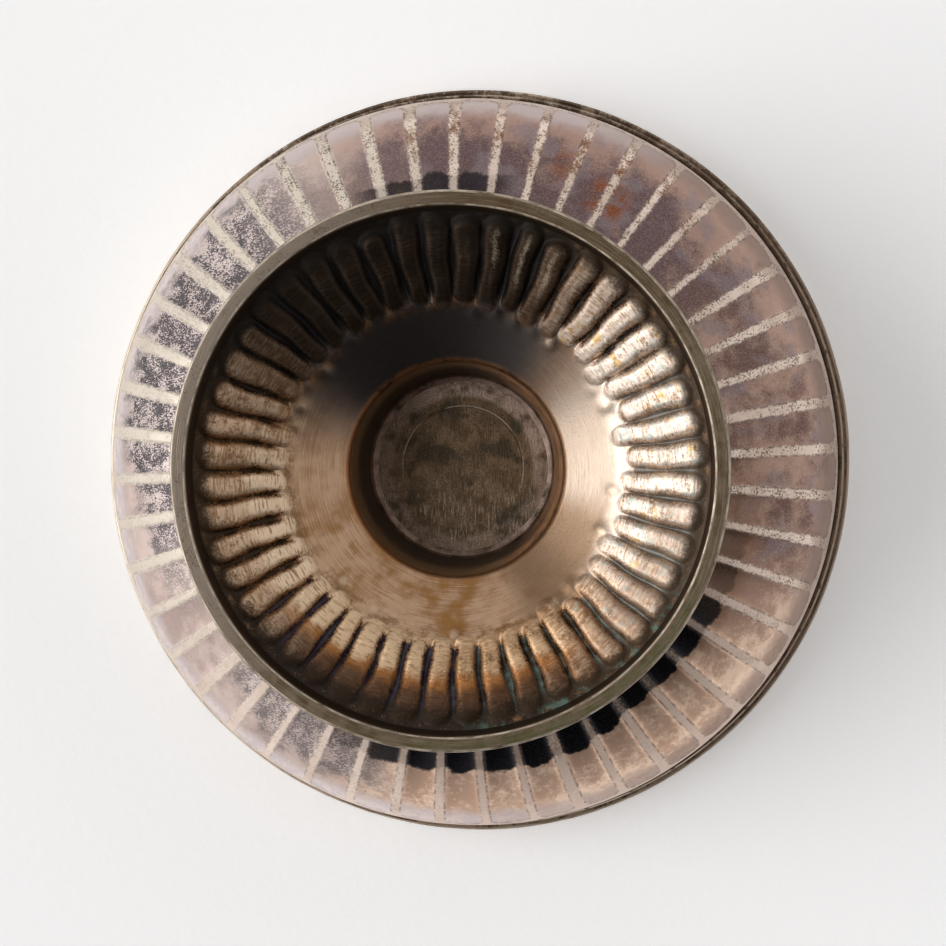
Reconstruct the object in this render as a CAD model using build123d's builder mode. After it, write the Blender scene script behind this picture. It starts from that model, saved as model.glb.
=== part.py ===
from build123d import *
from math import acos, asin, atan2, cos, hypot, pi, radians, sin
import os

# Footed salt cellar, millimetres, standing upright: Z is the axis, the foot ring rests on Z = 0.
# Five soldered pieces: fluted bowl, rim moulding, fluted foot, foot ring and the solder of the neck.

# Flutes, the same number round the bowl and round the foot
flute_count = 48
flute_share = 0.7           # part of each pitch that is hollow, the rest is the narrow ridge
flute_tip = 0.4             # width of a flute's end, as a share of its full width
flute_run_out = 0.9         # length over which an end gains its full depth

# Foot ring, a drawn flat wire
ring_radius = 26.9
ring_width = 1.5            # flat underside
ring_height = 2.2
ring_lean = 0.5             # how far the inner face leans in under the foot
ring_bevel = 0.3

# Foot, spun sheet that spreads like a trumpet
foot_sheet = 0.9
foot_edge_step = 0.6        # the ring stands proud of the foot's edge
spread_slope = 17.0         # degrees at the ring
shoulder_radius = 10.4      # inside, where the spread turns into the neck
shoulder_rise = 6.4         # above the ring
neck_radius = 8.9           # inside, at the bowl
neck_height = 8.6
neck_bend = 0.6             # outside, where the neck leaves the spread
foot_flute_margin = 0.7     # plain edge outside the flutes
foot_flute_length = 8.0     # measured towards the axis
foot_flute_depth = 0.15     # share of the flute's width

# Bowl, raised sheet
bowl_sheet = 1.0
bowl_radius = 36.4          # outside, at the belly
bowl_height = 20.8
bowl_bottom = 12.0          # radius of the flat bottom
belly_round = 7.5
lip_inset = 1.0             # the lip is drawn in from the belly
cove_round = 4.0
bowl_flute_margin = 1.2     # plain edge round the flat bottom
bowl_flute_stop = 1.8       # flutes end this far below the belly's widest line
bowl_flute_depth = 0.075    # share of the flute's width

# Rim moulding, a stepped wire round the lip
rim_overhang = 1.1          # beyond the belly
rim_height = 1.9
rim_band = 0.9              # height of the upper, wider band
rim_step = 0.55             # the lower band is drawn in by this much
rim_bevel = 0.25
rim_land = 0.1              # straight lip below the moulding

# Solder that runs round the neck, inside and outside
solder_leg = 0.7

foot_height = ring_height + shoulder_rise + neck_height
total_height = foot_height + bowl_height
lip_radius = bowl_radius - lip_inset
rim_radius = bowl_radius + rim_overhang
pitch = 2 * pi / flute_count

os.makedirs("parts", exist_ok=True)


def turned(start, *steps, bend_at=None, bend=0):
    """Solid turned about the axis; each step is a corner, or a pair: the middle and the end of an arc.

    The corner at bend_at is rounded with the radius bend.
    """
    with BuildPart() as solid:
        with BuildSketch(Plane.XZ):
            with BuildLine():
                here = start
                for step in (*steps, start):
                    if isinstance(step[0], tuple):
                        ThreePointArc(here, *step)
                        here = step[1]
                    else:
                        Line(here, step)
                        here = step
            section = make_face()
            if bend_at:
                fillet(section.vertices().sort_by_distance(bend_at)[0], bend)
        revolve(axis=Axis.Z)
    return solid.part


def fluted_ring(radius, height, heading, sunk=0, raised=0, tip=1):
    """Closed ring of arcs at one station of a sheet whose outline runs in the direction heading.

    Each flute is one arc with its middle sunk to the left of the heading, each ridge between two
    flutes is an arc raised to the right of it; both are shares of the flute's width.
    """
    half = flute_share * tip * pitch / 2
    width = flute_share * pitch * radius

    def point(angle, share):
        out = radius + share * width * sin(heading)
        return (out * cos(angle), out * sin(angle), height - share * width * cos(heading))

    arcs = []
    for number in range(flute_count):
        middle = number * pitch
        left, right = point(middle - half, raised), point(middle + half, raised)
        after = point(middle + pitch - half, raised)
        arcs.append(Edge.make_three_point_arc(left, point(middle, -sunk), right))
        arcs.append(Edge.make_three_point_arc(right, point(middle + pitch / 2, raised), after))
    return Wire(arcs)


# Foot ring
ring_inner = ring_radius - ring_width
with BuildPart() as foot_ring:
    with BuildSketch(Plane.XZ):
        with BuildLine():
            Polyline(
                (ring_inner, 0),
                (ring_radius, 0),
                (ring_radius, ring_height),
                (ring_inner - ring_lean, ring_height),
                close=True,
            )
        section = make_face()
        chamfer(section.vertices().group_by(Axis.X)[-1], ring_bevel)
    revolve(axis=Axis.Z)
foot_ring.part.label = "foot_ring"
export_step(foot_ring.part, "parts/foot_ring.step")

# Foot: the sheet lies on the ring with a flat edge, spreads inwards on one arc and rises to the neck
foot_edge = ring_radius - foot_edge_step
spread_start = ring_inner - ring_lean
spread_run = spread_start - shoulder_radius
first_slope = radians(spread_slope)
spread_bend = 2 * (atan2(shoulder_rise, spread_run) - first_slope)
spread_round = hypot(spread_run, shoulder_rise) / (2 * sin(spread_bend / 2))
centre_radius = spread_start + spread_round * sin(first_slope)
centre_height = ring_height + spread_round * cos(first_slope)
flute_outer = spread_start - foot_flute_margin
flute_inner = flute_outer - foot_flute_length


def on_spread(radius, inset):
    """Point and slope of the spread at a radius, on its inner face or inset towards its outer face."""
    arc = spread_round - inset
    slope = asin((centre_radius - radius) / arc)
    return (radius, centre_height - arc * cos(slope)), slope


def under_spread(inset, edge, shoulder, neck, bend):
    """Three solids that fill the space below one face of the foot: its edge, its flutes, its crown."""
    rings = []
    for radius, depth, tip in (
        (flute_inner, 0, flute_tip),
        (flute_inner + flute_run_out, foot_flute_depth, 1),
        (flute_outer - flute_run_out, foot_flute_depth, 1),
        (flute_outer, 0, flute_tip),
    ):
        (radius, height), slope = on_spread(radius, inset)
        rings.append(fluted_ring(radius, height, pi - slope, raised=depth, tip=tip))
    low, high = on_spread(flute_outer, inset)[0], on_spread(flute_inner, inset)[0]
    half_way = on_spread((flute_inner + shoulder[0]) / 2, inset)[0]
    crown = (high, (half_way, shoulder), (neck, foot_height), (0, foot_height))
    return (
        turned((0, ring_height), *edge, low, (0, low[1])),
        Solid.make_loft(rings, ruled=True),
        turned((0, high[1]), *crown, bend_at=shoulder, bend=bend),
    )


shoulder_slope = first_slope + spread_bend
neck_slope = atan2(neck_height, shoulder_radius - neck_radius)
corner_slope = (shoulder_slope + neck_slope) / 2
corner_gap = foot_sheet / cos((neck_slope - shoulder_slope) / 2)
shoulder_height = ring_height + shoulder_rise
shoulder_outside = (
    shoulder_radius + corner_gap * sin(corner_slope),
    shoulder_height + corner_gap * cos(corner_slope),
)
flange_top = ring_height + foot_sheet
flange = ((foot_edge, ring_height), (foot_edge, flange_top), (spread_start, flange_top))
plain_edge = ((spread_start, ring_height),)
shoulder_inside = (shoulder_radius, shoulder_height)
metal = under_spread(foot_sheet, flange, shoulder_outside, neck_radius + foot_sheet, neck_bend)
space = under_spread(0, plain_edge, shoulder_inside, neck_radius, neck_bend + foot_sheet)

with BuildPart() as foot:
    add(metal, clean=False)
    add(space, mode=Mode.SUBTRACT, clean=False)
foot.part.label = "foot"
export_step(foot.part, "parts/foot.step")

# Bowl: flat bottom, long base arc, belly, cove and straight lip, with the inner face one sheet inside
lip_turn = acos(1 - lip_inset / (belly_round + cove_round))
cove_height = total_height - rim_height - rim_land
belly_height = cove_height - (belly_round + cove_round) * sin(lip_turn)
reach = bowl_radius - belly_round - bowl_bottom
climb = belly_height - foot_height
base_round = (reach**2 + climb**2 - belly_round**2) / (2 * (climb - belly_round))
base_turn = asin(reach / (base_round - belly_round))


def on_bowl(turn, inset=0):
    """Point where the bowl's line climbs at this angle, on its outer face or inset from it."""
    if turn < base_turn:
        arc = base_round - inset
        return (bowl_bottom + arc * sin(turn), foot_height + base_round - arc * cos(turn))
    arc = belly_round - inset
    return (bowl_radius - belly_round + arc * sin(turn), belly_height - arc * cos(turn))


def upper_bowl(inset):
    """Belly from its widest point, cove and lip, as steps of an outline."""
    cove = cove_round + inset
    cove_middle = (
        lip_radius + cove_round - cove * cos(lip_turn / 2),
        cove_height - cove * sin(lip_turn / 2),
    )
    return (
        (on_bowl(pi / 2, inset), on_bowl(pi / 2 + lip_turn, inset)),
        (cove_middle, (lip_radius - inset, cove_height)),
        (lip_radius - inset, total_height),
        (0, total_height),
    )


first_turn = asin(bowl_flute_margin / base_round)
last_turn = acos(bowl_flute_stop / belly_round)
base_first = first_turn + flute_run_out / base_round
belly_last = last_turn - flute_run_out / belly_round
full_turns = [base_first + share * (base_turn - base_first) for share in (0, 1 / 3, 2 / 3, 1)]
full_turns += [base_turn + share * (belly_last - base_turn) for share in (1 / 2, 1)]
bowl_rings = [fluted_ring(*on_bowl(first_turn), first_turn, tip=flute_tip)]
bowl_rings += [fluted_ring(*on_bowl(turn), turn, sunk=bowl_flute_depth) for turn in full_turns]
bowl_rings.append(fluted_ring(*on_bowl(last_turn), last_turn, tip=flute_tip))

first, last = on_bowl(first_turn), on_bowl(last_turn)
bottom = turned(
    (0, foot_height), (bowl_bottom, foot_height), (on_bowl(first_turn / 2), first), (0, first[1])
)
fluted = Solid.make_loft(bowl_rings, ruled=True)
upper = turned((0, last[1]), last, *upper_bowl(0))
hollow = turned(
    (0, foot_height + bowl_sheet),
    (bowl_bottom, foot_height + bowl_sheet),
    (on_bowl(base_turn / 2, bowl_sheet), on_bowl(base_turn, bowl_sheet)),
    *upper_bowl(bowl_sheet),
)

with BuildPart() as bowl:
    add((bottom, fluted, upper), clean=False)
    add(hollow, mode=Mode.SUBTRACT, clean=False)
bowl.part.label = "bowl"
export_step(bowl.part, "parts/bowl.step")

# Rim moulding: a narrow lower band and a wider upper band, soldered round the lip
rim_low = total_height - rim_height
rim_mid = total_height - rim_band
with BuildPart() as rim_moulding:
    with BuildSketch(Plane.XZ):
        with BuildLine():
            Polyline(
                (lip_radius, rim_low),
                (rim_radius - rim_step, rim_low),
                (rim_radius - rim_step, rim_mid),
                (rim_radius, rim_mid),
                (rim_radius, total_height),
                (lip_radius, total_height),
                close=True,
            )
        section = make_face()
        chamfer(section.vertices().group_by(Axis.X)[-1], rim_bevel)
    revolve(axis=Axis.Z)
rim_moulding.part.label = "rim_moulding"
export_step(rim_moulding.part, "parts/rim_moulding.step")

# Neck solder: a fillet inside the neck and one outside, from the leaning wall to the bowl's flat bottom
neck_inside = (neck_radius, shoulder_inside, -solder_leg)
neck_outside = (neck_radius + foot_sheet, shoulder_outside, solder_leg)
with BuildPart() as neck_solder:
    with BuildSketch(Plane.XZ):
        for corner, (wall_radius, wall_height), leg in (neck_inside, neck_outside):
            lean = solder_leg * (wall_radius - corner) / (foot_height - wall_height)
            with BuildLine():
                Polyline(
                    (corner, foot_height),
                    (corner + leg, foot_height),
                    (corner + lean, foot_height - solder_leg),
                    close=True,
                )
            make_face()
    revolve(axis=Axis.Z)
neck_solder.part.label = "neck_solder"
export_step(neck_solder.part, "parts/neck_solder.step")
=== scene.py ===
import bmesh
import bpy
import numpy as np
from math import acos, asin, atan2, cos, hypot, pi, radians, sin, tan
from mathutils import Matrix, Vector


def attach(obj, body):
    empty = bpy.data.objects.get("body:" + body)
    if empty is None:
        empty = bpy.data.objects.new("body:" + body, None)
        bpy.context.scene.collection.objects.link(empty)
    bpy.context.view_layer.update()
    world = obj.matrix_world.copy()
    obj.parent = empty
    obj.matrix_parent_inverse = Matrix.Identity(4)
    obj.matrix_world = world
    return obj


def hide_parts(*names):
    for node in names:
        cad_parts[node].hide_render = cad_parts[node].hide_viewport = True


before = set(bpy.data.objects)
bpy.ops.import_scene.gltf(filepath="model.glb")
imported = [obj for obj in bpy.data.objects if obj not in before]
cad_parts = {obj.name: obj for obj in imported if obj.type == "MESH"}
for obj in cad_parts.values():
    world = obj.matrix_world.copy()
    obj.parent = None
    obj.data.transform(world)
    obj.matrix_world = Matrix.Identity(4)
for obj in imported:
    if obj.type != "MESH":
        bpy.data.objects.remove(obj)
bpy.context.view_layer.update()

# Bowl: a shallow round bowl raised from silver sheet, standing on its flat bottom on the neck.
# Its outside has wide flutes chased into it up to the belly, with narrow flat strips left between them.
# Sizes are millimetres. Tarnish fills the flutes, and polishing cloths have kept the strips pale.
foot_height = 17.2
total_height = 38.0
bowl_sheet = 1.0
bottom_radius = 12.0
bowl_radius = 36.4
lip_radius = 35.4
belly_round = 7.5
cove_round = 4.0
cove_height = 36.0
flute_count = 48
pitch = 2 * pi / flute_count
flute_half = 0.395
flute_depth = 0.075
flute_corner = 1.1
flute_margin = 1.2
flute_stop = 1.8
wall_run = 0.32
wall_share = 0.42
end_run = 2.2
lean_radius = 30

lip_turn = acos(1 - (bowl_radius - lip_radius) / (belly_round + cove_round))
belly_height = cove_height - (belly_round + cove_round) * sin(lip_turn)
belly_reach = bowl_radius - belly_round - bottom_radius
belly_climb = belly_height - foot_height
base_round = (belly_reach**2 + belly_climb**2 - belly_round**2) / (2 * (belly_climb - belly_round))
base_turn = asin(belly_reach / (base_round - belly_round))


def smooth(value, low, high):
    """Soft step from 0 at low to 1 at high."""
    share = np.clip((value - low) / (high - low), 0, 1)
    return share * share * (3 - 2 * share)


def bowl_line(inset):
    """Radius, height and climbing angle along one face of the bowl, from the axis to the lip."""
    line = [(radius, foot_height + inset, 0.0) for radius in np.linspace(0, bottom_radius, 14)]
    for turn in np.linspace(0, base_turn, 46)[1:]:
        arc = base_round - inset
        line.append((bottom_radius + arc * sin(turn), foot_height + base_round - arc * cos(turn), turn))
    for turn in np.linspace(base_turn, pi / 2 + lip_turn, 46)[1:]:
        arc = belly_round - inset
        line.append((bowl_radius - belly_round + arc * sin(turn), belly_height - arc * cos(turn), turn))
    for turn in np.linspace(lip_turn, 0, 10)[1:]:
        arc = cove_round + inset
        radius = lip_radius + cove_round - arc * cos(turn)
        line.append((radius, cove_height - arc * sin(turn), pi / 2 + turn))
    return np.array(line)


def round_trip(across):
    """Number and place of every angle round the axis, given the places on one half of a flute."""
    one = np.concatenate((-across[:0:-1], across, [0.5]))
    number = np.repeat(np.arange(flute_count), len(one))
    return number, np.tile(one, flute_count)


def spun_piece(name, outline, turns, push=None, way=None, marks=None, closed=True):
    """Smooth mesh of an outline carried round the axis, pushed by so many millimetres along way."""
    stations, count = len(outline), len(turns)
    push = np.zeros((stations, count)) if push is None else push
    way = np.zeros((stations, 2)) if way is None else way
    radius = outline[:, :1] + push * way[:, :1]
    height = outline[:, 1:2] + push * way[:, 1:2]
    points = np.stack((radius * np.cos(turns), radius * np.sin(turns), height), axis=-1) * 0.001
    rows = np.arange(stations if closed else stations - 1)
    row, column = np.meshgrid(rows, np.arange(count), indexing="ij")
    after, beside = (row + 1) % stations, (column + 1) % count
    corners = (row * count + column, row * count + beside, after * count + beside, after * count + column)
    mesh = bpy.data.meshes.new(name)
    mesh.from_pydata(points.reshape(-1, 3).tolist(), [], np.stack(corners, axis=-1).reshape(-1, 4).tolist())
    for mark, values in (marks or {}).items():
        layer = mesh.attributes.new(mark, "FLOAT", "POINT")
        layer.data.foreach_set("value", np.broadcast_to(values, (stations, count)).astype(np.float32).ravel())
    whole = bmesh.new()
    whole.from_mesh(mesh)
    bmesh.ops.remove_doubles(whole, verts=whole.verts, dist=1e-6)
    bmesh.ops.recalc_face_normals(whole, faces=whole.faces)
    whole.to_mesh(mesh)
    whole.free()
    mesh.shade_smooth()
    piece = bpy.data.objects.new(name, mesh)
    bpy.context.scene.collection.objects.link(piece)
    return piece


outside = bowl_line(0)
inside = bowl_line(bowl_sheet)[::-1]
lip_edge = np.array([(lip_radius - inwards, total_height - down, 0) for inwards, down in (
    (0, 1.0), (0, 0.3), (0.08, 0.12), (0.3, 0.05), (0.5, 0.03),
    (0.74, 0.05), (0.92, 0.14), (bowl_sheet, 0.3), (bowl_sheet, 1.0),
)])
bowl_outline = np.concatenate((outside, lip_edge, inside))
flute_number, flute_place = round_trip(np.array([0, .10, .19, .27, .325, .36, .385, .405, .43, .465]))
bowl_turns = (flute_number + flute_place) * pitch

# Every flute was chased by hand, so each has its own width, lean, depth and end.
chaser = np.random.default_rng(11)
flute_shift = chaser.normal(0, 0.014, flute_count)[flute_number]
flute_lean = chaser.normal(0, 0.012, flute_count)[flute_number]
flute_width = chaser.normal(1, 0.030, flute_count)[flute_number]
flute_strength = chaser.normal(1, 0.13, flute_count)[flute_number]
flute_end = chaser.normal(0, 0.22, flute_count)[flute_number]

bowl_length = np.concatenate(([0], np.cumsum(np.hypot(*np.diff(outside[:, :2], axis=0).T))))
first_station = np.interp(bottom_radius + flute_margin, outside[:60, 0], bowl_length[:60])
last_station = np.interp(acos(flute_stop / belly_round), outside[14:100, 2], bowl_length[14:100])
radius = outside[:, :1]
share = (flute_place - flute_shift - flute_lean * (radius - lean_radius) / 10) / (flute_half * flute_width)
to_side = (1 - np.abs(share)) * flute_half * pitch * radius
to_start = bowl_length[:, None] - first_station
to_end = last_station + flute_end - bowl_length[:, None]


def to_edge(side, end):
    """Distance to the edge of a flute whose ends have round corners, positive inside it."""
    rounded = flute_corner - np.hypot(flute_corner - side, flute_corner - end)
    return np.where((side < flute_corner) & (end < flute_corner), rounded, np.minimum(side, end))


flute_inside = np.minimum(to_edge(to_side, to_start), to_edge(to_side, to_end))
hollow = np.clip(1 - share**2, 0, 1) * smooth(np.minimum(to_start, to_end), 0, end_run)
flute_sink = wall_share * smooth(flute_inside, 0, wall_run)
flute_sink += (1 - wall_share) * hollow * (flute_inside > 0)
flute_sink *= flute_strength * flute_depth * 2 * flute_half * pitch * radius

plain_rows = len(lip_edge) + len(inside)
bowl_push = np.concatenate((flute_sink, np.zeros((plain_rows, len(bowl_turns)))))
bowl_way = np.zeros((len(bowl_outline), 2))
bowl_way[:len(outside)] = np.stack((-np.sin(outside[:, 2]), np.cos(outside[:, 2])), axis=-1)
strip_mark = np.concatenate((-flute_inside, np.full((plain_rows, len(bowl_turns)), 3.0)))
lining_mark = np.zeros((len(bowl_outline), 1))
lining_mark[len(outside) + 4:] = 1
flute_tone = np.random.default_rng(23).uniform(0, 1, flute_count)[flute_number]
tone_mark = np.tile(flute_tone, (len(bowl_outline), 1))
bowl_marks = {"strip": strip_mark, "lining": lining_mark, "tone": tone_mark}
bowl = spun_piece("bowl_shell", bowl_outline, bowl_turns, bowl_push, bowl_way, bowl_marks, closed=False)
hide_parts("bowl")
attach(bowl, "root")


class Lead:
    """One output socket of a shader tree. Arithmetic on it adds Math nodes to the tree."""

    def __init__(self, tree, socket=None):
        self.tree = tree
        self.socket = socket

    def node(self, kind, sockets=(), output=0, **settings):
        """A new node: its settings first, then the values or links of its sockets."""
        node = self.tree.nodes.new(kind)
        for name, value in settings.items():
            setattr(node, name, value)
        self.wire(node, dict(sockets))
        return Lead(self.tree, node.outputs[output])

    def wire(self, node, sockets):
        """Links each lead to its socket and writes every other value into it."""
        for name, value in sockets.items():
            if isinstance(value, Lead):
                self.tree.links.new(value.socket, node.inputs[name])
            elif node.inputs[name].type == "RGBA":
                node.inputs[name].default_value = (*value, 1.0)
            else:
                node.inputs[name].default_value = value

    def maths(self, operation, *values):
        return self.node("ShaderNodeMath", enumerate(values), operation=operation)

    def __add__(self, other):
        return self.maths("ADD", self, other)

    def __sub__(self, other):
        return self.maths("SUBTRACT", self, other)

    def __rsub__(self, other):
        return self.maths("SUBTRACT", other, self)

    def __mul__(self, other):
        return self.maths("MULTIPLY", self, other)

    def __truediv__(self, other):
        return self.maths("DIVIDE", self, other)

    def __pow__(self, other):
        return self.maths("POWER", self, other)

    def __abs__(self):
        return self.maths("ABSOLUTE", self)

    __radd__ = __add__
    __rmul__ = __mul__


class Finish:
    """A material with what the finishes share: places in millimetres, bearings, noise and mixing."""

    def __init__(self, name):
        self.material = bpy.data.materials.new(name)
        self.material.use_nodes = True
        self.shader = self.material.node_tree.nodes["Principled BSDF"]
        self.start = Lead(self.material.node_tree)
        metres = self.start.node("ShaderNodeTexCoord", output="Object")
        self.place = self.start.node("ShaderNodeVectorMath", {0: metres, "Scale": 1000.0}, operation="SCALE")
        parts = self.start.node("ShaderNodeSeparateXYZ", {0: self.place}).socket.node
        self.x, self.y, self.z = (Lead(self.material.node_tree, socket) for socket in parts.outputs)
        self.radius = (self.x * self.x + self.y * self.y) ** 0.5

    def mark(self, name):
        """A number that the mesh carries at its points."""
        return self.start.node("ShaderNodeAttribute", output="Fac", attribute_name=name)

    def soft(self, value, low, high):
        """Soft step from 0 at low to 1 at high."""
        sockets = {0: value, 1: low, 2: high, 3: 0.0, 4: 1.0}
        return self.start.node("ShaderNodeMapRange", sockets, interpolation_type="SMOOTHSTEP")

    def side(self, bearing, reach):
        """1 on the side of the cellar at this bearing in degrees, fading to 0 at reach degrees from it."""
        angle = radians(bearing)
        facing = (self.x * cos(angle) - self.y * sin(angle)) / self.radius
        return self.soft(facing, cos(radians(reach)), cos(radians(reach * 0.45)))

    def line(self, radius, width):
        """1 on a circle round the axis, fading to 0 at this distance from it."""
        return 1 - self.soft(abs(self.radius - radius), width * 0.3, width)

    def noise(self, scale, detail=2.0, roughness=0.5, stretch=None, shift=0.0):
        """Noise with grains of about 1 / scale millimetres; stretch squeezes it along X, Y and Z."""
        place = self.place
        if stretch is not None:
            place = self.start.node("ShaderNodeVectorMath", {0: place, 1: stretch}, operation="MULTIPLY")
        if shift:
            moved = {0: place, 1: (shift, shift, shift)}
            place = self.start.node("ShaderNodeVectorMath", moved, operation="ADD")
        sockets = {"Vector": place, "Scale": scale, "Detail": detail, "Roughness": roughness}
        return self.start.node("ShaderNodeTexNoise", sockets)

    def spinning(self, scale, along=0.25):
        """Fine lines that run round the axis, as a spinning tool leaves them."""
        sockets = {0: self.radius * scale, 1: self.x * along, 2: self.z * scale + self.y * along}
        place = self.start.node("ShaderNodeCombineXYZ", sockets)
        return self.start.node("ShaderNodeTexNoise", {"Vector": place, "Scale": 1.0, "Detail": 3.0})

    def mix(self, below, above, mask):
        """The colour below, with the colour above laid over it where the mask is 1."""
        sockets = {0: mask, 6: below, 7: above}
        return self.start.node("ShaderNodeMix", sockets, output=2, data_type="RGBA")

    def cover(self, piece, colour, roughness, metallic, height):
        """Wires the shader and gives the piece the material; height is in millimetres."""
        normal = self.start.node("ShaderNodeBump", {"Height": height, "Distance": 0.001})
        sockets = {"Base Color": colour, "Roughness": roughness, "Metallic": metallic, "Normal": normal}
        self.start.wire(self.shader, sockets)
        piece.data.materials.clear()
        piece.data.materials.append(self.material)


skin = Finish("bowl_tarnished_silver")
strip = skin.mark("strip")
lining = skin.mark("lining")
tone = skin.mark("tone")
cloud = skin.noise(0.16, 3.0)
blotch = skin.noise(0.6, 4.0, 0.6)
grain = skin.noise(5.0, 3.0, 0.65)
fine = skin.noise(11.0, 2.0, 0.6)
wiped = skin.noise(2.2, 3.0, 0.6, (1.0, 0.35, 1.0))
fleck = skin.noise(7.0, 2.0, 0.6, (0.5, 1.0, 1.0))

# Flutes: mauve and tan sulphide film in dark and light patches, paler on the left, tan at the lower
# right, purple at the top, with two patches of rust and fine pale rubbing
left = skin.side(178, 88)
lower_right = skin.side(294, 58)
dark_film = skin.mix((0.18, 0.10, 0.085), (0.60, 0.455, 0.41), left * 0.85)
dark_film = skin.mix(dark_film, (0.64, 0.41, 0.29), lower_right * 0.9)
dark_film = skin.mix(dark_film, (0.15, 0.095, 0.105), skin.side(76, 48) * 0.75)
light_film = skin.mix((0.49, 0.325, 0.255), (0.84, 0.68, 0.62), left * 0.9)
light_film = skin.mix(light_film, (1.0, 0.75, 0.57), lower_right * 0.95)
light_film = skin.mix(light_film, (0.40, 0.25, 0.20), skin.side(76, 48) * 0.7)
outwards = skin.soft(skin.radius, 30.6, 35.4) - 0.4
patchy = cloud * 0.6 + blotch * 0.4 + (tone - 0.5) * 0.12
patchy = patchy + outwards * (0.06 + skin.side(84, 58) * 0.26)
patchy = patchy + (grain - 0.5) * 0.14 + (wiped - 0.5) * 0.08
mottled = skin.noise(1.5, 4.0, 0.7, shift=13.0)
panel = skin.mix(dark_film, light_film, skin.soft(patchy + (mottled - 0.5) * lower_right * 0.5, 0.40, 0.62))
bluish = skin.soft(skin.noise(0.3, 2.0, shift=47.0), 0.50, 0.66) * (1 - left) * (1 - lower_right)
panel = skin.mix(panel, (0.27, 0.215, 0.235), bluish * 0.6)
rust = skin.side(63.5, 5) * skin.line(29.6, 2.4) + skin.side(73, 3) * skin.line(31.0, 2.2) * 0.6
panel = skin.mix(panel, (0.26, 0.07, 0.02), rust * skin.soft(blotch + grain * 0.4, 0.58, 0.74))
rubbed = skin.soft(fine + grain * 0.6, 0.76, 0.98)
panel = skin.mix(panel, (0.76, 0.60, 0.52), rubbed * (0.26 + left * 0.2))
belly = skin.soft(skin.radius + (blotch - 0.5) * 1.6, 34.2, 35.6)
panel = skin.mix(panel, (0.29, 0.20, 0.165), belly * 0.75)
streaked = skin.soft(blotch + (wiped - 0.5) * 0.8, 0.42, 0.62)
violet = skin.mix((0.90, 0.775, 0.735), (0.74, 0.65, 0.665), streaked)
panel = skin.mix(panel, violet, belly * skin.side(198, 112) * 0.9)
panel = skin.mix(panel, (0.64, 0.55, 0.54), belly * skin.side(98, 46) * 0.7)

# The left side is rubbed thin to pale flecks over graphite grey near the foot
bare = skin.soft(fleck + (blotch - 0.5) * 0.7, 0.49, 0.58)
grey_edge = 34.8 - skin.side(206, 30) * 2.2 - skin.side(240, 24) * 1.0
flecked = skin.side(164, 50) + skin.side(238, 22) * 0.7
greyed = flecked * (1 - skin.soft(skin.radius + (blotch - 0.5) * 4, grey_edge - 1.0, grey_edge + 1.0))
panel = skin.mix(panel, (0.80, 0.70, 0.68), greyed * 0.6)
panel = skin.mix(panel, (0.080, 0.071, 0.080), greyed * (1 - bare) * 0.93)

# Under the foot's overhang: painted dark reflection, near-black patches that stand for the dark foot and room
# mirrored in the flutes, and painted brown shade at the lower right
reach = skin.radius + (blotch - 0.5) * 1.5 + skin.soft(strip, -0.9, 0.0) * 0.3
under_edge = 28.9 + skin.side(268, 42) * 1.7
under = 1 - skin.soft(reach, under_edge - 0.25, under_edge + 0.25)
painted_dark_reflection = skin.side(287, 52) + skin.side(98, 20) * 0.75 + skin.side(325, 30) * 0.5
painted_dark_reflection = under * painted_dark_reflection * (1 - skin.soft(strip, -0.15, 0.15) * 0.45) * (1 - lining)
painted_dark_reflection = skin.soft(painted_dark_reflection, 0.0, 1.0)
# Painted brown shade near the foot at the lower right
panel = skin.mix(panel, (0.26, 0.135, 0.075), (1 - skin.soft(reach, 28.8, 30.6)) * skin.side(318, 54) * 0.6)
panel = skin.mix(panel, (0.02, 0.018, 0.022), painted_dark_reflection)

# Strips: pale silver with ragged edges and brown specks, dull towards the lower right
ragged = strip + (skin.noise(3.2, 3.0, 0.7) - 0.5) * 0.7 + skin.side(165, 80) * 0.16
on_strip = skin.soft(ragged, -0.14, 0.12)
specks = skin.soft(grain + (blotch - 0.5) * 0.45, 0.54, 0.62)
pale = skin.mix((1.0, 0.83, 0.72), (0.84, 0.67, 0.56), skin.soft(cloud, 0.4, 0.65))
pale = skin.mix(pale, (0.84, 0.745, 0.64), skin.side(160, 75))
pale = skin.mix(pale, (0.42, 0.30, 0.24), belly * (0.7 - skin.side(200, 112) * 0.6))
pale = skin.mix(pale, (0.15, 0.085, 0.05), specks * (0.8 - skin.side(204, 84) * 0.65))
rusty = skin.side(78, 34) * skin.line(32.6, 3.2) * skin.soft(blotch + grain * 0.6, 0.72, 0.92)
pale = skin.mix(pale, (0.28, 0.12, 0.05), rusty * 0.85)
pale = skin.mix(pale, (0.80, 0.62, 0.52), skin.side(300, 45) * 0.85)
# Dark lines along the strip edges: dirt and painted shade, weaker on the left
dirt_and_edge_shade = (1 - skin.soft(abs(strip), 0.0, 0.18)) * skin.soft(skin.noise(1.4, 3.0, 0.7), 0.44, 0.58)
colour = skin.mix(panel, pale, on_strip * (1 - painted_dark_reflection * 0.75))
colour = skin.mix(colour, (0.10, 0.06, 0.04), dirt_and_edge_shade * 0.6 * (1 - lining) * (1 - skin.side(195, 70) * 0.6))

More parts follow.
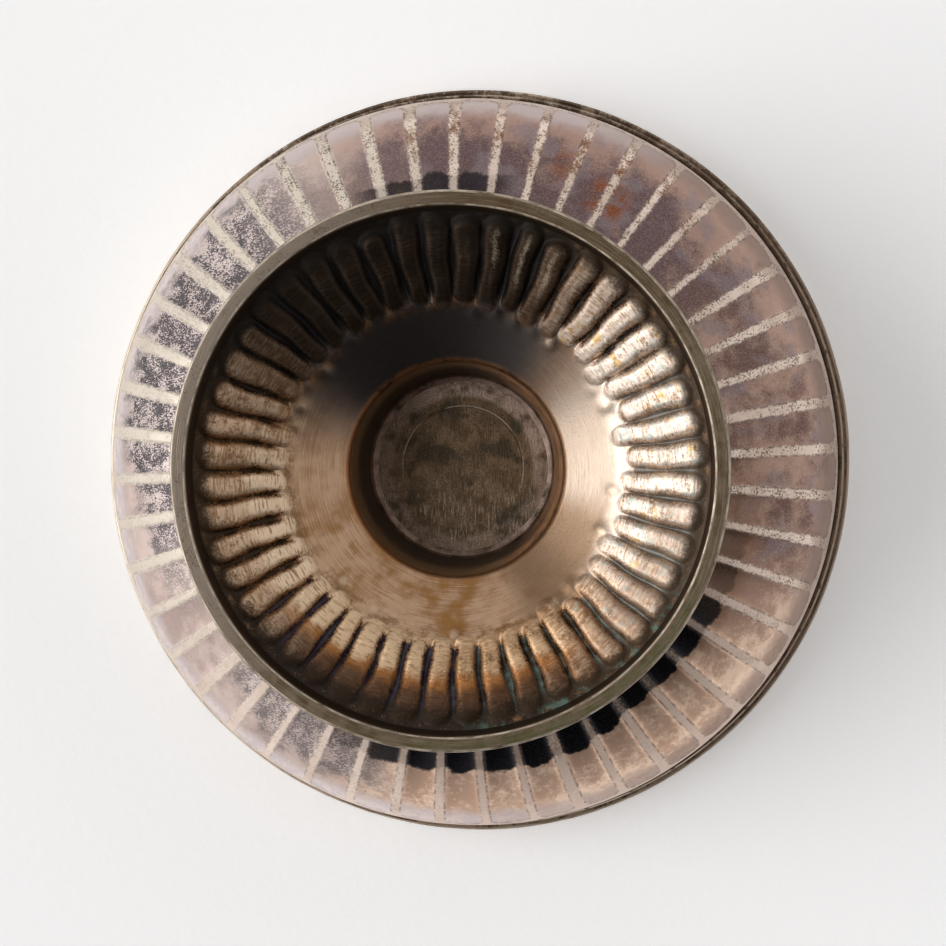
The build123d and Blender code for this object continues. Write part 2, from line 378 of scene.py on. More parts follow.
# Flat bottom inside the neck: dark olive brown, ribbed by the planishing hammer, with a scribed circle
base = (1 - skin.soft(skin.radius, 9.0, 10.5)) * (1 - lining)
ribbing = skin.noise(1.0, 3.0, 0.6, (7.0, 0.8, 1.0))
base_colour = skin.mix((0.10, 0.062, 0.032), (0.20, 0.13, 0.075), skin.soft(blotch, 0.38, 0.66))
lower_half = skin.soft(skin.y + (blotch - 0.5) * 4, 0.5, 4.0)
worn_ribs = skin.soft(ribbing, 0.50, 0.68) * (0.25 + lower_half * 0.6)
base_colour = skin.mix(base_colour, (0.34, 0.27, 0.21), worn_ribs)
stain = skin.soft(skin.noise(0.35, 3.0), 0.52, 0.64)
base_colour = skin.mix(base_colour, (0.045, 0.035, 0.022), stain * 0.75)
base_rim = skin.soft(skin.radius, 6.6, 7.2) * skin.soft(blotch, 0.30, 0.56)
base_colour = skin.mix(base_colour, (0.42, 0.305, 0.245), base_rim * (0.35 + skin.side(65, 85) * 0.6))
scribed = skin.line(5.9, 0.13) * skin.side(85, 125)
broken = skin.soft(skin.noise(0.25, 1.0), 0.42, 0.52)
base_colour = skin.mix(base_colour, (0.45, 0.37, 0.28), scribed * broken * 0.7)
colour = skin.mix(colour, base_colour, base)

# Lining: satin silver with brown spots
satin = skin.mix((0.70, 0.62, 0.53), (0.50, 0.41, 0.34), skin.soft(blotch + cloud, 0.9, 1.25))
satin = skin.mix(satin, (0.12, 0.08, 0.06), skin.soft(skin.noise(0.9, 4.0, 0.7), 0.64, 0.72) * 0.8)
colour = skin.mix(colour, satin, lining)

roughness = 0.32 + rubbed * 0.16 + on_strip * 0.08 - painted_dark_reflection * 0.18 + base * 0.06
metallic = 0.92 - rubbed * 0.12 - on_strip * 0.10
height = fine * 0.012 + wiped * 0.006 - specks * on_strip * 0.02
height = height - scribed * base * 0.05 + bare * greyed * 0.012 + ribbing * base * 0.04
skin.cover(bowl, colour, roughness, metallic, height)

# Rim moulding: a drawn silver wire of two steps, soldered round the outside of the lip.
# The lower band is narrower; the corner under it carries painted shade, and its edges carry painted
# highlights.
rim_radius = 37.48
rim_inner = 35.42
rim_step = 0.55
rim_low = 36.1
rim_mid = 37.1
rim_unevenness = 0.10


def rounded_outline(corners, steps=6, longest=0.5):
    """Closed outline through corners of radius, height and rounding, with its long runs divided."""
    corners = np.array(corners, dtype=float)
    outline = []
    for before, (x, y, size), after in zip(np.roll(corners, 1, 0), corners, np.roll(corners, -1, 0)):
        corner = np.array((x, y))
        start = corner + (before[:2] - corner) * size / hypot(*(before[:2] - corner))
        end = corner + (after[:2] - corner) * size / hypot(*(after[:2] - corner))
        for share in np.linspace(0, 1, steps):
            outline.append((1 - share) ** 2 * start + 2 * share * (1 - share) * corner + share**2 * end)
    divided = []
    for here, there in zip(outline, np.roll(outline, -1, 0)):
        pieces = max(1, round(hypot(*(there - here)) / longest))
        divided += [here + (there - here) * number / pieces for number in range(pieces)]
    return np.array(divided)


rim_outline = rounded_outline([
    (rim_inner, rim_low, 0.1),
    (rim_radius - rim_step, rim_low, 0.28),
    (rim_radius - rim_step, rim_mid, 0.1),
    (rim_radius, rim_mid, 0.24),
    (rim_radius, total_height, 0.24),
    (rim_inner, total_height, 0.1),
])
ring_turns = np.linspace(0, 2 * pi, 600, endpoint=False)


def wobble(seed, size, waves=24):
    """Hand-made unevenness round a ring, from 0 down to minus size."""
    draws = np.random.default_rng(seed)
    total = np.zeros(len(ring_turns))
    for wave in range(2, waves):
        total += draws.normal(0, 1 / wave) * np.sin(wave * ring_turns + draws.uniform(0, 2 * pi))
    return (total - total.max()) / (total.max() - total.min()) * size


rim_push = np.tile(wobble(5, rim_unevenness), (len(rim_outline), 1))
rim_way = np.tile((1.0, 0.0), (len(rim_outline), 1)) * smooth(rim_outline[:, :1], 35.5, 36.5)
rim = spun_piece("rim_band", rim_outline, ring_turns, rim_push, rim_way)
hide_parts("rim_moulding")
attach(rim, "root")

wire = Finish("rim_worn_silver")
blotch = wire.noise(0.5, 4.0, 0.65)
grain = wire.noise(4.0, 3.0, 0.65)
drawn = wire.spinning(14.0)
# Painted highlights along the edges of the two steps
edge_highlights = wire.line(37.35, 0.25) + wire.line(36.85, 0.15)
colour = wire.mix((0.36, 0.26, 0.19), (0.17, 0.105, 0.065), wire.soft(blotch, 0.42, 0.62))
colour = wire.mix(colour, (0.05, 0.035, 0.025), wire.soft(grain + blotch, 1.02, 1.22) * 0.8)
bright = wire.soft(edge_highlights, 0.3, 0.9) * wire.soft(drawn + blotch, 0.75, 1.05)
colour = wire.mix(colour, (0.70, 0.59, 0.47), bright)
# Darker towards the top
top_darkening = wire.side(84, 72) * wire.soft(blotch + grain * 0.4, 0.50, 0.76)
colour = wire.mix(colour, (0.06, 0.035, 0.02), top_darkening * 0.85)
colour = wire.mix(colour, (0.18, 0.105, 0.07), wire.side(8, 70) * 0.5)
# Painted shade in the corner under the moulding, next to the bowl
corner = 1 - wire.soft(wire.radius, 36.3, 36.75)
colour = wire.mix(colour, (0.03, 0.022, 0.016), corner * 0.9)
# Painted shadow spots under the moulding, one at the end of each flute strip
around = wire.start.maths("ARCTAN2", wire.y, wire.x)
spot = wire.soft(wire.start.maths("COSINE", around * flute_count), -0.93, -0.985) * wire.line(36.95, 0.3)
spot = spot * (1 - wire.soft(wire.z, rim_low + 0.15, rim_low + 0.35))
colour = wire.mix(colour, (0.02, 0.014, 0.01), spot * wire.soft(blotch, 0.35, 0.55))
top = wire.soft(wire.z, 37.7, 37.95)
colour = wire.mix(colour, (0.70, 0.61, 0.51), top * wire.soft(drawn, 0.35, 0.6))
wire.cover(rim, colour, 0.30 + grain * 0.2, 0.92, drawn * 0.02 + grain * 0.02)

# Foot: a spun trumpet of thinner sheet, soldered to the bowl by its neck and open below.
# Near its edge the sheet is chased into rounded toes that stand out below, with sunk gaps between them.
# Gaps and edge keep dark tarnish, painted black towards the top as shade and dark reflection; the shoulder
# shows the lines of the spinning tool.
foot_sheet = 0.9
spread_start = 24.9
shoulder_radius = 10.4
shoulder_height = 8.6
ring_height = 2.2
neck_radius = 8.9
first_slope = radians(17.0)
inside_bend = 1.1
outside_bend = 0.6
toe_inner = 15.8
toe_outer = 24.9
toe_half = 0.51
toe_rise = 0.26
toe_roundness = 2.2
toe_sway = 0.10
gap_sink = 0.36
upper_share = 0.8
bead_rise = 0.15
bead_length = 0.7
bead_width = 0.6
lump_rise = 0.16
lump_radius = 24.5
lump_length = 0.28
lump_width = 0.5
flange_radius = 26.3
foot_turn = radians(2.3)

spread_run = spread_start - shoulder_radius
spread_rise = shoulder_height - ring_height
spread_bend = 2 * (atan2(spread_rise, spread_run) - first_slope)
spread_round = hypot(spread_run, spread_rise) / (2 * sin(spread_bend / 2))
last_slope = first_slope + spread_bend
neck_slope = atan2(foot_height - shoulder_height, shoulder_radius - neck_radius)
corner_slope = (last_slope + neck_slope) / 2
corner_gap = foot_sheet / cos((neck_slope - last_slope) / 2)


def foot_line(inset, corner, neck_top, bend):
    """Radius, height and slope along one face of the foot, from the ring up to the bowl."""
    line = []
    arc = spread_round - inset
    reach = bend * tan((neck_slope - last_slope) / 2)
    for slope in np.linspace(first_slope, last_slope, 90):
        out = spread_start + spread_round * sin(first_slope) - arc * sin(slope)
        line.append((out, ring_height + spread_round * cos(first_slope) - arc * cos(slope), slope))
    line = [point for point in line if hypot(point[0] - corner[0], point[1] - corner[1]) > reach]
    start, corner, top = np.array(line[-1][:2]), np.array(corner), np.array((neck_top, foot_height))
    end = corner + (top - corner) * reach / hypot(*(top - corner))
    for share in np.linspace(0, 1, 12)[1:]:
        point = (1 - share) ** 2 * start + 2 * share * (1 - share) * corner + share**2 * end
        line.append((*point, last_slope + (neck_slope - last_slope) * share))
    for share in np.linspace(0, 1, 20)[1:]:
        line.append((*(end + (top - end) * share), neck_slope))
    return np.array(line)


shoulder_outside = (
    shoulder_radius + corner_gap * sin(corner_slope), shoulder_height + corner_gap * cos(corner_slope)
)
under_face = foot_line(0, (shoulder_radius, shoulder_height), neck_radius, inside_bend)
upper_face = foot_line(foot_sheet, shoulder_outside, neck_radius + foot_sheet, outside_bend)[::-1]
flange = np.array([(flange_radius - inwards, ring_height + up, 0) for inwards, up in (
    (0.8, foot_sheet), (0.3, foot_sheet), (0.1, 0.87), (0.01, 0.75), (0, 0.6), (0, 0.01), (0.7, 0.01),
)])
foot_outline = np.concatenate((under_face, upper_face, flange))
toe_number, toe_place = round_trip(np.array([0, .07, .14, .20, .26, .31, .35, .38, .405, .43, .455, .48]))
foot_turns = (toe_number + toe_place) * pitch + foot_turn

toe_shift = chaser.normal(0, 0.018, flute_count)[toe_number]
toe_width = chaser.normal(1, 0.05, flute_count)[toe_number]
toe_strength = chaser.normal(1, 0.14, flute_count)[toe_number]
toe_start = chaser.normal(0, 0.35, flute_count)[toe_number]
toe_end = chaser.normal(0, 0.25, flute_count)[toe_number]
gap_number = (toe_number - (toe_place < 0)) % flute_count
bead_strength = np.clip(chaser.uniform(-0.7, 1.0, flute_count), 0, None)[gap_number]
bead_place = chaser.normal(0, 0.45, flute_count)[gap_number]
lump_strength = chaser.uniform(0.1, 1.0, flute_count)[gap_number]

radius = foot_outline[:, :1]
half_width = toe_half * toe_width * pitch * radius
toe_wave = radius * 1.6 + chaser.uniform(0, 2 * pi, flute_count)[toe_number]
from_middle = (toe_place - toe_shift) * pitch * radius + toe_sway * np.sin(toe_wave * 0.7)
from_gap = (0.5 - np.abs(toe_place)) * pitch * radius
along = np.minimum(radius - toe_inner - toe_start, toe_outer + toe_end - radius)
into_end = np.clip(half_width - along, 0, None)
from_ridge = np.clip(np.hypot(from_middle, into_end) / half_width, 0, 1)
toe = 0.5 + 0.5 * np.cos(pi * from_ridge**toe_roundness)
toe_zone = smooth(radius, toe_inner - 0.2, toe_inner + 2.4) * smooth(radius, toe_outer + 0.1, toe_outer - 1.2)
gap = toe_zone * (1 - toe)
near_tip = smooth(radius, toe_inner + 2.2, toe_inner + 0.4)
core = np.maximum(1 - from_ridge, 0.55 * near_tip)
bead_along = (radius - toe_inner - bead_place) / bead_length
bead = np.exp(-(bead_along**2) - (from_gap / bead_width) ** 2) * bead_strength
lump_along = (radius - lump_radius) / lump_length
lump = np.exp(-(lump_along**2) - (from_gap / lump_width) ** 2) * lump_strength
toe_height = toe_rise * toe_strength * (1 + 0.22 * np.sin(toe_wave))
toe_height = toe_height * (0.2 + 0.8 * smooth(radius - toe_inner - toe_start, 0.2, 2.8))
foot_push = gap * gap_sink - toe * toe_height - bead * bead_rise - lump * lump_rise
foot_push[len(under_face):] *= upper_share
foot_push[len(under_face) + len(upper_face):] = 0
slope = foot_outline[:, 2]
foot_way = np.stack((np.sin(slope), np.cos(slope)), axis=-1)
below_mark = np.zeros((len(foot_outline), 1))
below_mark[:len(under_face)] = 1
foot_marks = {"toe": toe, "core": core, "gap": gap, "bead": bead + lump * 0.5, "below": below_mark}
foot = spun_piece("foot_shell", foot_outline, foot_turns, foot_push, foot_way, foot_marks)
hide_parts("foot")
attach(foot, "root")

spun = Finish("foot_tarnished_silver")
toe = spun.mark("toe")
core = spun.mark("core")
gap = spun.mark("gap")
bead = spun.mark("bead")
below = spun.mark("below")
cloud = spun.noise(0.22, 3.0)
blotch = spun.noise(0.7, 4.0, 0.6)
grain = spun.noise(4.5, 3.0, 0.65)
spots = spun.noise(0.9, 3.0, 0.6, shift=31.0)
lines = spun.spinning(19.0)
ribs = spun.spinning(4.6, 0.9)
hammered = spun.noise(1.5, 2.0)

# Toes: pinkish tan with fine cross ribs and brown mottling, painted nearly white on the right as a highlight,
# with a few yellow and grey green spots, burnt orange towards the edge at the bottom, painted black at the
# top as a dark reflection
ribbed = spun.soft(ribs + (cloud - 0.5) * 0.5, 0.40, 0.60)
tan_skin = spun.mix((0.42, 0.245, 0.135), (0.74, 0.515, 0.355), ribbed)
browned = spun.soft(blotch + grain * 0.5, 0.68, 1.0) * (0.75 - spun.side(8, 60) * 0.5)
tan_skin = spun.mix(tan_skin, (0.24, 0.115, 0.045), browned)
# Painted highlight: nearly white on the right
right_highlight = spun.side(10, 56) * spun.soft(ribs * 0.6 + grain * 0.6 + blotch * 0.5, 0.66, 0.90)
tan_skin = spun.mix(tan_skin, (1.0, 0.86, 0.75), right_highlight)
yellowed = spun.side(12, 56) * spun.soft(spots, 0.60, 0.66)
tan_skin = spun.mix(tan_skin, (0.74, 0.47, 0.12), yellowed * 0.75)
greened = spun.side(355, 52) * (1 - spun.soft(spots, 0.38, 0.44))
tan_skin = spun.mix(tan_skin, (0.50, 0.60, 0.56), greened * 0.7)
outer_half = spun.soft(spun.radius + (blotch - 0.5) * 2.5, 19.3, 20.6)
inner_left = spun.side(218, 58) * (1 - outer_half * 0.75)
tan_skin = spun.mix(tan_skin, (1.0, 0.78, 0.56), inner_left * spun.soft(ribs, 0.30, 0.50) * 0.95)
charred = spun.soft(spun.radius + grain + blotch, 21.2, 22.8)
burnt = spun.mix((0.42, 0.165, 0.04), (0.07, 0.028, 0.014), charred)
bottom_side = spun.side(264, 54)
tan_skin = spun.mix(tan_skin, (0.70, 0.46, 0.25), (1 - outer_half) * bottom_side * 0.5)
# Painted shade: darker outer half just below the right
tan_skin = spun.mix(tan_skin, (0.40, 0.28, 0.20), outer_half * spun.side(332, 26) * 0.6)
tan_skin = spun.mix(tan_skin, burnt, outer_half * bottom_side * 0.9)
# Painted dark reflection: near black at the top
tan_skin = spun.mix(tan_skin, (0.020, 0.013, 0.009), spun.side(106, 66) * 0.97)
speckle = spun.soft(grain + (blotch - 0.5) * 0.9, 0.54, 0.76)
speckle = speckle * (0.75 - spun.side(5, 64) * 0.5 - inner_left * 0.5)
tan_skin = spun.mix(tan_skin, (0.20, 0.10, 0.045), speckle * (1 - spun.side(106, 66) * 0.95))
lit_crest = spun.side(62, 27) * spun.soft(core + (blotch - 0.5) * 0.7 + (grain - 0.5) * 0.8, 0.74, 1.15)
tan_skin = spun.mix(tan_skin, (0.50, 0.39, 0.28), lit_crest * spun.soft(spun.radius, 17.5, 20.5) * 0.75)
standing = core + (grain - 0.5) * 0.75 + (blotch - 0.5) * 0.6
# Toe sides: brown fringe, painted black at the top as dark reflection and paler on the right as painted light
fringe = spun.mix((0.30, 0.145, 0.055), (0.02, 0.015, 0.012), spun.side(106, 70))
fringe = spun.mix(fringe, (0.50, 0.38, 0.28), spun.side(0, 54) * 0.75)
teal = spun.side(290, 80) * spun.soft(blotch, 0.40, 0.58)
deep = spun.mix((0.040, 0.024, 0.013), (0.10, 0.135, 0.125), teal * 0.85)
deep = spun.mix(deep, (0.045, 0.032, 0.055), spun.side(248, 38) * 0.7)
# Gaps: paler on the right as painted light, black at the top and upper right as painted shade and dark
# reflection
deep = spun.mix(deep, (0.26, 0.24, 0.21), spun.side(0, 50) * 0.7)
blackest = spun.start.maths("MAXIMUM", spun.side(108, 66), spun.side(46, 26) * 0.8)
deep = spun.mix(deep, (0.012, 0.010, 0.010), blackest)
toes = spun.mix(deep, fringe, spun.soft(standing - bottom_side * 0.08, 0.06, 0.28))
toes = spun.mix(toes, tan_skin, spun.soft(standing, 0.18, 0.48))

# Edge by the ring: brown dirt and painted shade, blacker towards the upper left and the bottom, with some
# green at the lower right
dirt_and_shade_reach = spun.radius + (blotch - 0.5) * 2.4 + (grain - 0.5) * 1.6
edge = spun.soft(dirt_and_shade_reach + bottom_side * 0.8 + spun.side(5, 55) * 0.1, 22.9, 24.3)
upper_left = spun.side(112, 70)
edge_colour = spun.mix((0.060, 0.033, 0.015), (0.012, 0.007, 0.003), upper_left + spun.side(255, 60) * 0.7)
knocked = spun.soft(bead + grain * 1.2, 0.68, 0.94) * (1 - upper_left)
edge_colour = spun.mix(edge_colour, (0.25, 0.14, 0.07), knocked * 0.7)
toes = spun.mix(toes, edge_colour, edge * 0.92)
green = spun.side(305, 35) * spun.soft(spun.radius, 24.0, 24.6) * spun.soft(blotch, 0.5, 0.62)
toes = spun.mix(toes, (0.13, 0.22, 0.17), green * 0.7)

# Shoulder and neck: spun satin silver with brown stains, oxide brown up to the bowl, with painted highlights,
# painted shade and painted dark reflection
tooled = spun.soft(cloud + (lines - 0.5) * 1.2 + (blotch - 0.5) * 0.5, 0.32, 0.68)
shoulder = spun.mix((0.62, 0.405, 0.265), (0.42, 0.245, 0.14), tooled)
stained = spun.side(255, 72) * spun.soft(cloud * 0.8 + blotch * 0.6 + (lines - 0.5) * 0.3, 0.64, 0.88)
shoulder = spun.mix(shoulder, (0.35, 0.165, 0.045), stained * 0.85)
# Painted highlight tone: greyer on the right, under the mirrored window
shoulder = spun.mix(shoulder, (0.40, 0.33, 0.27), spun.side(8, 42) * 0.85)
# Painted shade at the lower right
shoulder = spun.mix(shoulder, (0.22, 0.14, 0.085), spun.side(322, 32) * 0.85)
# Painted dark reflection: near black at the top
shoulder = spun.mix(shoulder, (0.058, 0.055, 0.057), spun.side(102, 78) * 0.96)
tips = spun.soft(spun.radius + (blotch - 0.5) * 1.4, 14.8, 16.2)
# Painted highlight on the toe tips at the right
shoulder = spun.mix(shoulder, (0.95, 0.80, 0.67), tips * spun.side(2, 46) * 0.45)
brown_tips = tips * (1 - spun.side(0, 60)) * spun.soft(blotch + grain * 0.5, 0.66, 0.86)
shoulder = spun.mix(shoulder, (0.22, 0.115, 0.05), brown_tips * 0.7)
# Painted highlights on the beads, faint at the top
bead_highlights = spun.soft(bead + (grain - 0.5) * 0.8, 0.3, 1.1) * (0.7 - spun.side(108, 66) * 0.6)
shoulder = spun.mix(shoulder, (0.70, 0.53, 0.38), bead_highlights)
lip = spun.soft(spun.z, 8.2, 8.7) * (1 - spun.soft(spun.z, 9.0, 9.6))
shoulder = spun.mix(shoulder, (0.54, 0.28, 0.13), lip * spun.soft(blotch, 0.30, 0.55) * 0.8)
neck = spun.soft(spun.z + (blotch - 0.5) * 0.8, 8.9, 9.9)
# Neck oxide, painted redder on the right where light falls in, and painted black shadow deeper down except on
# the right
oxide = spun.mix((0.20, 0.115, 0.055), (0.54, 0.27, 0.135), spun.side(5, 90) * spun.soft(blotch, 0.30, 0.6))
neck_shadow = spun.soft(spun.z + blotch * 2, 11.5, 14.5) * (0.9 - spun.side(15, 70) * 0.5)
oxide = spun.mix(oxide, (0.02, 0.012, 0.006), neck_shadow)
shoulder = spun.mix(shoulder, oxide, neck)
on_toes = spun.soft(spun.radius + (blotch - 0.5) * 1.5, 15.6, 16.6) * spun.soft(toe + gap, 0.10, 0.6)
under_colour = spun.mix(shoulder, toes, spun.start.maths("MAXIMUM", on_toes, edge))

# Upper face: the same tarnish as the bowl, rubbed pale on the ridges that the gaps raise
upper = spun.mix((0.44, 0.31, 0.25), (0.58, 0.44, 0.35), spun.soft(cloud, 0.4, 0.62))
upper = spun.mix(upper, (0.20, 0.13, 0.105), spun.soft(blotch, 0.52, 0.68) * 0.6)
upper = spun.mix(upper, (0.72, 0.61, 0.50), spun.soft(gap + (grain - 0.5) * 0.5, 0.45, 0.80) * 0.9)
upper = spun.mix(upper, (0.09, 0.06, 0.045), spun.soft(spun.z, 14.5, 17.0) * 0.8)
colour = spun.mix(upper, under_colour, below)
dull = neck * below
roughness = 0.25 + grain * 0.14 + gap * 0.15 + toe * 0.15 + dull * 0.15 + edge * 0.2
metallic = 0.94 - gap * 0.15 - dull * 0.45 - edge * 0.3
height = lines * 0.018 + ribs * toe * 0.06 + grain * 0.012 + hammered * (toe + gap) * 0.05
spun.cover(foot, colour, roughness, metallic, height)

# Foot ring: a flat drawn wire bent to a hoop and soldered under the foot's edge.
# The cellar stands on it, so its two edges are scuffed bright and its flat keeps a brown patina.
ring_inner = 25.4
ring_outer = 26.88
ring_unevenness = 0.10
ring_outline = rounded_outline([
    (ring_inner, 0.0, 0.16),
    (ring_outer, 0.0, 0.24),
    (ring_outer, ring_height, 0.24),
    (spread_start, ring_height, 0.05),
], longest=0.25)
ring_push = np.tile(wobble(9, ring_unevenness), (len(ring_outline), 1))
ring_way = np.tile((1.0, 0.0), (len(ring_outline), 1))
ring = spun_piece("foot_wire", ring_outline, ring_turns, ring_push, ring_way)
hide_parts("foot_ring")
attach(ring, "root")

hoop = Finish("ring_patina")
blotch = hoop.noise(0.5, 4.0, 0.65)
grain = hoop.noise(4.0, 3.0, 0.65)
drawn = hoop.spinning(16.0)
colour = hoop.mix((0.20, 0.145, 0.095), (0.125, 0.088, 0.05), hoop.soft(blotch, 0.40, 0.62))
colour = hoop.mix(colour, (0.10, 0.095, 0.05), hoop.soft(hoop.noise(0.9, 4.0, 0.7), 0.55, 0.68) * 0.6)
colour = hoop.mix(colour, (0.115, 0.07, 0.032), hoop.side(80, 50) * 0.6)
olive = hoop.side(300, 54) * hoop.line(26.2, 0.55) * hoop.soft(blotch + grain * 0.3, 0.50, 0.72)
colour = hoop.mix(colour, (0.125, 0.135, 0.055), olive * 0.8)
colour = hoop.mix(colour, (0.30, 0.245, 0.20), hoop.side(162, 80) * 0.85)
colour = hoop.mix(colour, (0.34, 0.27, 0.20), hoop.soft(drawn + grain * 0.4, 0.68, 0.86) * 0.6)
colour = hoop.mix(colour, (0.12, 0.07, 0.035), hoop.soft(grain + blotch, 1.06, 1.25) * 0.6)
flat = 1 - hoop.soft(hoop.z, 0.02, 0.30)
scuffed = hoop.soft(hoop.line(25.47, 0.16) + hoop.line(26.72, 0.17), 0.2, 0.8)
scuffed = scuffed * flat * hoop.soft(blotch + drawn * 0.5, 0.55, 0.95)
colour = hoop.mix(colour, (0.80, 0.69, 0.56), scuffed * 0.8)
inner_side = (1 - hoop.soft(hoop.radius, 25.2, 25.4)) * hoop.soft(hoop.z, 0.1, 0.4)
colour = hoop.mix(colour, (0.06, 0.04, 0.025), inner_side * 0.9)
hoop.cover(ring, colour, 0.34 + grain * 0.2, 0.9, drawn * 0.025 + grain * 0.02)

# Neck solder: hard solder run round the joint of neck and bowl, inside and outside.
# It has flowed into two small uneven fillets, brown grey where it is clean and black in the pits.
solder_leg = 0.68
solder_unevenness = 0.10


def solder_fillet(name, corner, lean, leg, seed):
    """Uneven ring of solder in the corner under the bowl, on the side of the neck that leg points to."""
    top = foot_height - 0.01
    outline = rounded_outline([
        (corner, top, 0.04), (corner + leg, top, 0.04), (corner + lean + leg * 0.30, top - 0.22, 0.12),
        (corner + lean, top - solder_leg, 0.04),
    ], longest=0.12)
    from_corner = smooth(np.abs(outline[:, :1] - corner), 0.1, 0.5)
    push = np.tile(wobble(seed, solder_unevenness), (len(outline), 1)) * from_corner
    way = np.tile((np.sign(leg), 0.0), (len(outline), 1))
    return spun_piece(name, outline, ring_turns, push, way)


neck_lean = solder_leg / tan(neck_slope)
fillets = [
    solder_fillet("solder_inside", neck_radius, neck_lean, -solder_leg, 21),
    solder_fillet("solder_outside", neck_radius + foot_sheet, neck_lean, solder_leg, 22),
]
flowed = Finish("dark_solder")
blotch = flowed.noise(0.6, 4.0, 0.65)
grain = flowed.noise(5.0, 3.0, 0.65)
colour = flowed.mix((0.26, 0.185, 0.15), (0.12, 0.08, 0.055), flowed.soft(blotch, 0.36, 0.64))
colour = flowed.mix(colour, (0.03, 0.022, 0.016), flowed.soft(blotch + grain * 0.3, 0.74, 0.86) * 0.8)
for fillet in fillets:
    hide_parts("neck_solder")
    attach(fillet, "root")
    flowed.cover(fillet, colour, 0.34 + grain * 0.2, 0.85, grain * 0.05)

# Table: the cellar lies upside down on white paper in the photograph, so one sheet touches the rim.
# It has a hole over the bowl's mouth, so that light still falls into the bowl in the other views.
# A second sheet lies under the foot for those views. Each shows only its own front. Sizes are metres.
sheet_turns = np.linspace(0, 2 * pi, 96, endpoint=False)
sheet_rings = (0.1, 0.5, 6.0)
mouth_hole = 0.0345
floor_hole = 0.0005
rim_height = total_height * 0.001 + 0.0001


def sheet_of_paper(name, height, facing, sizes):
    """Flat sheet of rings with these radii in metres, facing up or down."""
    points = [(size * cos(turn), size * sin(turn) * facing, height) for size in sizes for turn in sheet_turns]
    count = len(sheet_turns)
    faces = []
    for row in range(len(sizes) - 1):
        for column in range(count):
            here, beside = row * count + column, row * count + (column + 1) % count
            faces.append((here, here + count, beside + count, beside))
    mesh = bpy.data.meshes.new(name)
    mesh.from_pydata(points, [], faces)
    sheet = bpy.data.objects.new(name, mesh)
    bpy.context.scene.collection.objects.link(sheet)
    sheet.visible_shadow = False
    return sheet


table = sheet_of_paper("table_at_rim", rim_height, -1, (mouth_hole, *sheet_rings))
floor = sheet_of_paper("floor_at_foot", 0.0, 1, (floor_hole, *sheet_rings))
floor.visible_glossy = False
floor.visible_diffuse = False

paper = Finish("white_paper")
tooth = paper.noise(1.2, 4.0, 0.6)
colour = paper.mix((0.925, 0.925, 0.93), (0.955, 0.955, 0.955), tooth)
paper_path = paper.start.node("ShaderNodeLightPath").socket.node
looked_at = sum(Lead(paper.material.node_tree, paper_path.outputs[ray]) for ray in (
    "Is Camera Ray", "Is Glossy Ray", "Is Transmission Ray",
))
at_rim = paper.soft(paper.z, 10.0, 30.0)
paper_glow = paper.mix((0.0, 0.0, 0.0), (0.20, 0.20, 0.205), paper.soft(looked_at, 0.0, 1.0) * at_rim)
paper.start.wire(paper.shader, {
    "Base Color": colour, "Roughness": 0.9, "Specular IOR Level": 0.0, "Emission Strength": 1.0,
    "Emission Color": paper_glow,
    "Normal": paper.start.node("ShaderNodeBump", {"Height": tooth * 0.05, "Distance": 0.001}),
})
back = paper.start.node("ShaderNodeNewGeometry", output="Backfacing")
clear = paper.start.node("ShaderNodeBsdfTransparent")
face = Lead(paper.material.node_tree, paper.shader.outputs[0])
far_off = paper.soft(paper.radius, 1200.0, 5000.0)
unseen = paper.start.maths("MAXIMUM", back, far_off)
one_sided = paper.start.node("ShaderNodeMixShader", {0: unseen, 1: face, 2: clear})
paper.start.wire(paper.material.node_tree.nodes["Material Output"], {"Surface": one_sided})
for sheet in (table, floor):
    sheet.data.materials.append(paper.material)

# Light: an even white room, dark towards the lower edge of the photograph and dimmer behind the camera.
# A wide soft window stands to the left of the photograph, and another above for the other views.
world = bpy.data.worlds.new("soft_room")
bpy.context.scene.world = world
world.use_nodes = True
room = Lead(world.node_tree)
way = room.node("ShaderNodeTexCoord", output="Generated")


def towards(x, y, z, start, end):
    """0 to 1 as the way comes nearer to this direction, by the cosine of the angle between them."""
    direction = tuple(Vector((x, y, z)).normalized())
    near = room.node("ShaderNodeVectorMath", {0: way, 1: direction}, output="Value", operation="DOT_PRODUCT")
    sockets = {0: near, 1: start, 2: end, 3: 0.0, 4: 1.0}
    return room.node("ShaderNodeMapRange", sockets, interpolation_type="SMOOTHSTEP")


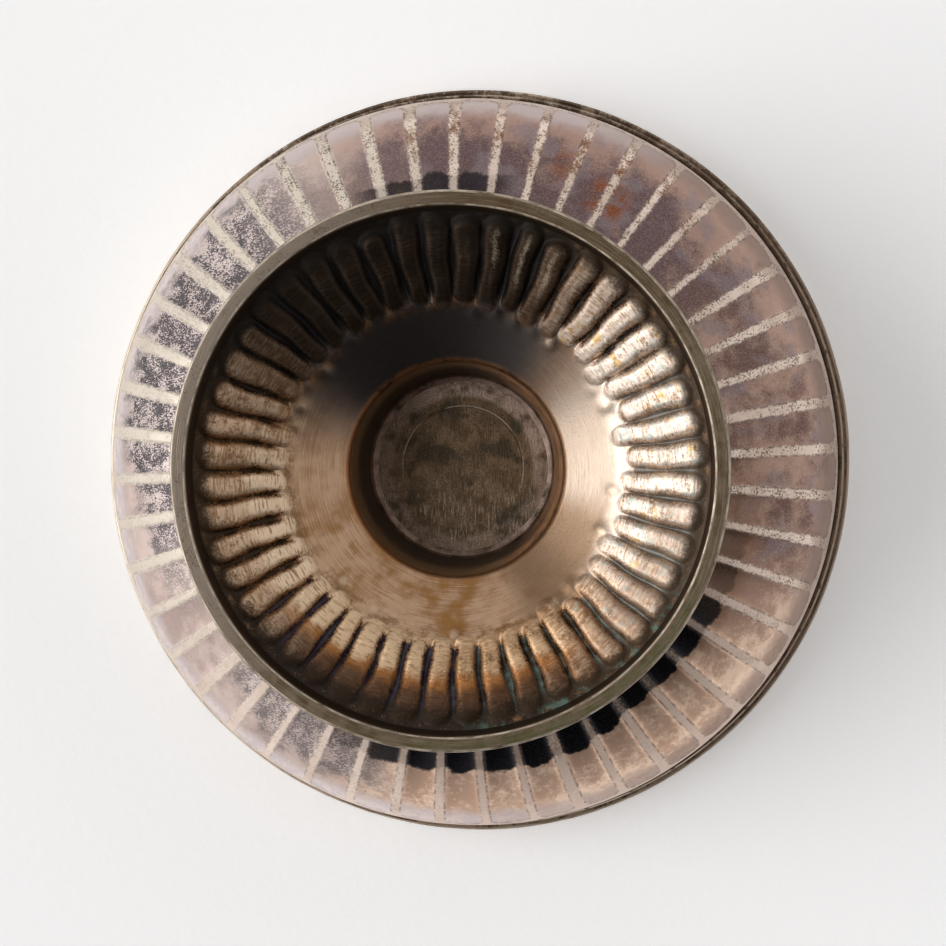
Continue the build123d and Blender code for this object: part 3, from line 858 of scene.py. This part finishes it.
room_light = 0.62
backdrop_light = 0.93
dark_side = 1 - towards(0.25, 0.72, -0.66, 0.72, 0.90) * 0.92
behind_camera = 1 - towards(0, 0, -1, 0.80, 0.97) * 0.35
glow = room_light * dark_side * behind_camera
backdrop = towards(0, 0, 1, -0.12, -0.02)
path = room.node("ShaderNodeLightPath").socket.node
seen = sum(Lead(world.node_tree, path.outputs[ray]) for ray in (
    "Is Camera Ray", "Is Glossy Ray", "Is Transmission Ray",
))
in_backdrop = backdrop * room.maths("MINIMUM", seen, 1.0)
strength = glow * (1 - in_backdrop) + in_backdrop * backdrop_light
room.wire(world.node_tree.nodes["Background"], {"Color": (1.0, 0.985, 0.965), "Strength": strength})


def soft_window(name, place, width, power):
    """Even light from one direction, as wide as a window of so many degrees."""
    light = bpy.data.lights.new(name, "SUN")
    light.angle = radians(width)
    light.energy = power
    holder = bpy.data.objects.new(name, light)
    holder.rotation_euler = (-Vector(place)).to_track_quat("-Z", "Y").to_euler()
    bpy.context.scene.collection.objects.link(holder)


soft_window("window_below", (-0.74, 0.02, -0.67), 44, 1.35)
soft_window("window_above", (-0.40, -0.45, 0.80), 60, 1.4)

# Camera: under the upright cellar, looking up into the foot, turned as in the photograph.
# The axis and the middle of the foot ring are given along the camera's own right, up and back.
photo_width = 946
focal_pixels = 6300
camera_distance = 600.0
camera_data = bpy.data.cameras.new("camera")
camera_data.sensor_width = 36.0
camera_data.lens = camera_data.sensor_width * focal_pixels / photo_width
camera = bpy.data.objects.new("camera", camera_data)
bpy.context.scene.collection.objects.link(camera)
axis_seen = Vector((2.9, 1.13, -total_height)).normalized()
foot_seen = Vector((-2.29, 0.16, -camera_distance)) * 0.001
roll = radians(-1.25)
across_seen = Vector((cos(roll), sin(roll), 0.0))
across_seen = (across_seen - axis_seen * across_seen.dot(axis_seen)).normalized()
upright = Matrix((across_seen, axis_seen.cross(across_seen), axis_seen))
camera.matrix_world = Matrix.Translation(-(upright @ foot_seen)) @ upright.to_4x4()
bpy.context.scene.camera = camera
bpy.context.scene.view_settings.view_transform = "Standard"
